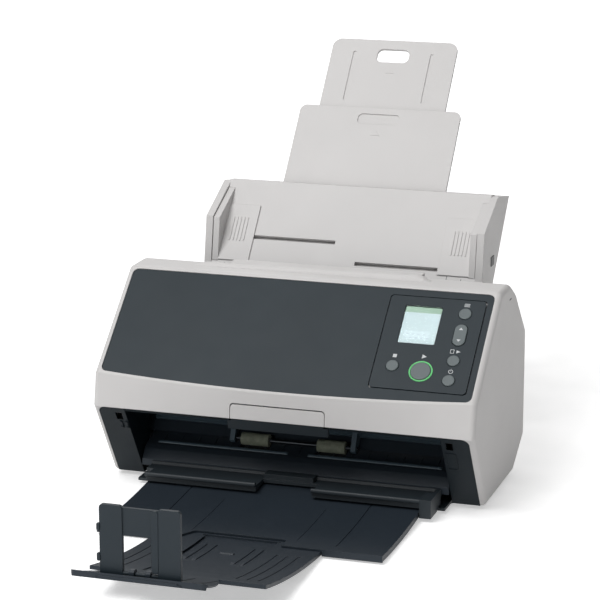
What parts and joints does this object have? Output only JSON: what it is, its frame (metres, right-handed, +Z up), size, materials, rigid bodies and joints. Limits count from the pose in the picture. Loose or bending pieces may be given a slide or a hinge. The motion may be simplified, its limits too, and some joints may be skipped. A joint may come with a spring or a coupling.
{
  "type": "document scanner",
  "caption": "Desktop sheet-fed document scanner with a swing-up hood, sliding chute guides, and a curved pull-out stacker with a folding stopper.",
  "frame": {"origin": "middle of the whole footprint, chute and stacker pulled out, on the table under the feet", "axes": "+X to the right as seen from the front, +Y to the rear, +Z up"},
  "size_m": [0.3046, 0.6192, 0.3153],
  "materials": {
    "black_plastic": "satin",
    "button_grey": "satin",
    "circuit_board": "coated board",
    "clear_window": "clear",
    "dark_plastic": "fine texture",
    "display": "lit liquid crystal",
    "glass": "clear",
    "green_ring": "translucent",
    "grey_plastic": "fine texture",
    "olive_rubber": "matte",
    "rubber": "matte",
    "slate_plastic": "satin",
    "steel": "zinc plated",
    "tray_plastic": "fine texture"
  },
  "bodies": {
    "cover": {"cover_shell": "grey_plastic", "front_panel": "slate_plastic", "operator_panel": "slate_plastic", "display_window": "clear_window", "display_module": "display", "panel_board": "circuit_board", "button_pad": "rubber", "scan_button_ring": "green_ring", "mouth_frame": "dark_plastic", "upper_guide": "dark_plastic", "upper_scan_unit": "black_plastic", "upper_scan_glass": "glass"},
    "menu_button": {"menu_button": "button_grey"},
    "feed_button": {"feed_button": "button_grey"},
    "power_button": {"power_button": "button_grey"},
    "stop_button": {"stop_button": "button_grey"},
    "scan_button": {"scan_button": "button_grey"},
    "select_rocker": {"select_rocker": "button_grey"},
    "latch": {"release_tab": "grey_plastic", "release_lever": "dark_plastic", "latch_shaft": "steel"},
    "brake_roller": {"brake_roller": "rubber"},
    "exit_idlers": {"idler_shaft": "steel", "idler_rollers": "olive_rubber"},
    "base": {"base_pan": "dark_plastic", "rubber_feet": "rubber", "side_frame_left": "steel", "side_frame_right": "steel", "rear_cover": "grey_plastic", "lower_guide": "dark_plastic", "lower_scan_unit": "black_plastic", "lower_scan_glass": "glass", "front_sill": "dark_plastic", "main_board": "circuit_board", "data_sockets": "steel", "power_inlet": "black_plastic", "feed_motor": "steel", "hinge_pins": "steel", "shaft_bushes": "black_plastic", "case_screws": "steel", "stacker_rails": "dark_plastic", "drive_belt": "rubber", "chute_shell": "grey_plastic", "chute_back": "grey_plastic"},
    "motor_pulley": {"motor_pulley": "steel"},
    "pick_shaft": {"pick_shaft": "steel", "pick_rollers": "rubber"},
    "feed_shaft": {"feed_shaft": "steel", "feed_rollers": "rubber"},
    "exit_shaft": {"exit_shaft": "steel", "exit_rollers": "rubber"},
    "guide_left": {"guide_left": "grey_plastic"},
    "guide_right": {"guide_right": "grey_plastic"},
    "guide_pinion": {"guide_pinion": "black_plastic"},
    "chute_extension": {"chute_extension": "grey_plastic"},
    "chute_tip": {"chute_tip": "grey_plastic"},
    "stacker": {"stacker": "tray_plastic"},
    "stacker_extension": {"stacker_extension": "tray_plastic"},
    "stacker_tip": {"stacker_tip": "tray_plastic"},
    "stopper": {"stopper": "tray_plastic"}
  },
  "joints": [
    {"name": "cover_hinge", "type": "hinge", "parent": "base", "child": "cover", "pos_m": [0, 0.12562, 0.126], "axis": [-1, 0, 0], "range_deg": [0, 45]},
    {"name": "latch_pivot", "type": "hinge", "parent": "cover", "child": "latch", "pos_m": [0, -0.00688, 0.081], "axis": [-1, 0, 0], "range_deg": [0, 6], "stiffness_Nm_per_rad": 0.8, "springref_deg": -5.73},
    {"name": "menu_button_press", "type": "slide", "parent": "cover", "child": "menu_button", "axis": [0, 0.6534, -0.757], "range_m": [0, 0.0008], "stiffness_N_per_m": 900, "springref_m": -0.0004},
    {"name": "feed_button_press", "type": "slide", "parent": "cover", "child": "feed_button", "axis": [0, 0.6534, -0.757], "range_m": [0, 0.0008], "stiffness_N_per_m": 900, "springref_m": -0.0004},
    {"name": "power_button_press", "type": "slide", "parent": "cover", "child": "power_button", "axis": [0, 0.6534, -0.757], "range_m": [0, 0.0008], "stiffness_N_per_m": 900, "springref_m": -0.0004},
    {"name": "stop_button_press", "type": "slide", "parent": "cover", "child": "stop_button", "axis": [0, 0.6534, -0.757], "range_m": [0, 0.0008], "stiffness_N_per_m": 900, "springref_m": -0.0004},
    {"name": "scan_button_press", "type": "slide", "parent": "cover", "child": "scan_button", "axis": [0, 0.6534, -0.757], "range_m": [0, 0.0008], "stiffness_N_per_m": 900, "springref_m": -0.0004},
    {"name": "select_rocker_tilt", "type": "hinge", "parent": "cover", "child": "select_rocker", "pos_m": [0, 0.03875, 0.1317], "axis": [1, 0, 0], "range_deg": [-3, 3], "stiffness_Nm_per_rad": 0.08},
    {"name": "brake_roller_spin", "type": "hinge", "parent": "cover", "child": "brake_roller", "pos_m": [0, 0.09027, 0.09867], "axis": [1, 0, 0], "continuous": true},
    {"name": "feed_spin", "type": "hinge", "parent": "base", "child": "feed_shaft", "pos_m": [0, 0.10529, 0.08584], "axis": [1, 0, 0], "continuous": true},
    {"name": "pick_spin", "type": "hinge", "parent": "base", "child": "pick_shaft", "pos_m": [0, 0.12523, 0.10826], "axis": [1, 0, 0], "continuous": true},
    {"name": "exit_spin", "type": "hinge", "parent": "base", "child": "exit_shaft", "pos_m": [0, 0.04988, 0.02737], "axis": [1, 0, 0], "continuous": true},
    {"name": "motor_spin", "type": "hinge", "parent": "base", "child": "motor_pulley", "pos_m": [0, 0.10362, 0.042], "axis": [1, 0, 0], "continuous": true},
    {"name": "exit_idlers_spin", "type": "hinge", "parent": "cover", "child": "exit_idlers", "pos_m": [0, 0.04107, 0.0349], "axis": [1, 0, 0], "continuous": true},
    {"name": "guide_left_slide", "type": "slide", "parent": "base", "child": "guide_left", "axis": [1, 0, 0], "range_m": [0, 0.07]},
    {"name": "guide_right_slide", "type": "slide", "parent": "base", "child": "guide_right", "axis": [-1, 0, 0], "range_m": [0, 0.07]},
    {"name": "guide_pinion_turn", "type": "hinge", "parent": "base", "child": "guide_pinion", "pos_m": [0, 0.15751, 0.16223], "axis": [0, 0.7604, -0.6494], "range_deg": [-2, 671.5]},
    {"name": "chute_extension_slide", "type": "slide", "parent": "base", "child": "chute_extension", "axis": [0, -0.6494, -0.7604], "range_m": [0, 0.072]},
    {"name": "chute_tip_slide", "type": "slide", "parent": "chute_extension", "child": "chute_tip", "axis": [0, -0.6494, -0.7604], "range_m": [0, 0.066]},
    {"name": "stacker_slide", "type": "hinge", "parent": "base", "child": "stacker", "pos_m": [0, -0.06938, 0.7054], "axis": [1, 0, 0], "range_deg": [0, 7.37]},
    {"name": "stacker_extension_slide", "type": "hinge", "parent": "stacker", "child": "stacker_extension", "pos_m": [0, -0.06938, 0.7054], "axis": [1, 0, 0], "range_deg": [0, 6.14]},
    {"name": "stacker_tip_slide", "type": "hinge", "parent": "stacker_extension", "child": "stacker_tip", "pos_m": [0, -0.06938, 0.7054], "axis": [1, 0, 0], "range_deg": [0, 3.27]},
    {"name": "stopper_fold", "type": "hinge", "parent": "stacker_tip", "child": "stopper", "pos_m": [0, -0.30168, 0.04719], "axis": [-1, 0, 0], "range_deg": [0, 105]}
  ],
  "couplings": [
    {"joint": "pick_spin", "follows": "feed_spin", "ratio": 1.1538},
    {"joint": "exit_spin", "follows": "feed_spin", "ratio": 1.6667},
    {"joint": "motor_spin", "follows": "feed_spin", "ratio": 1.5},
    {"joint": "exit_idlers_spin", "follows": "feed_spin", "ratio": -2.08},
    {"joint": "guide_right_slide", "follows": "guide_left_slide", "ratio": 1},
    {"joint": "guide_pinion_turn", "follows": "guide_left_slide", "rad_per_m": 166.67}
  ]
}
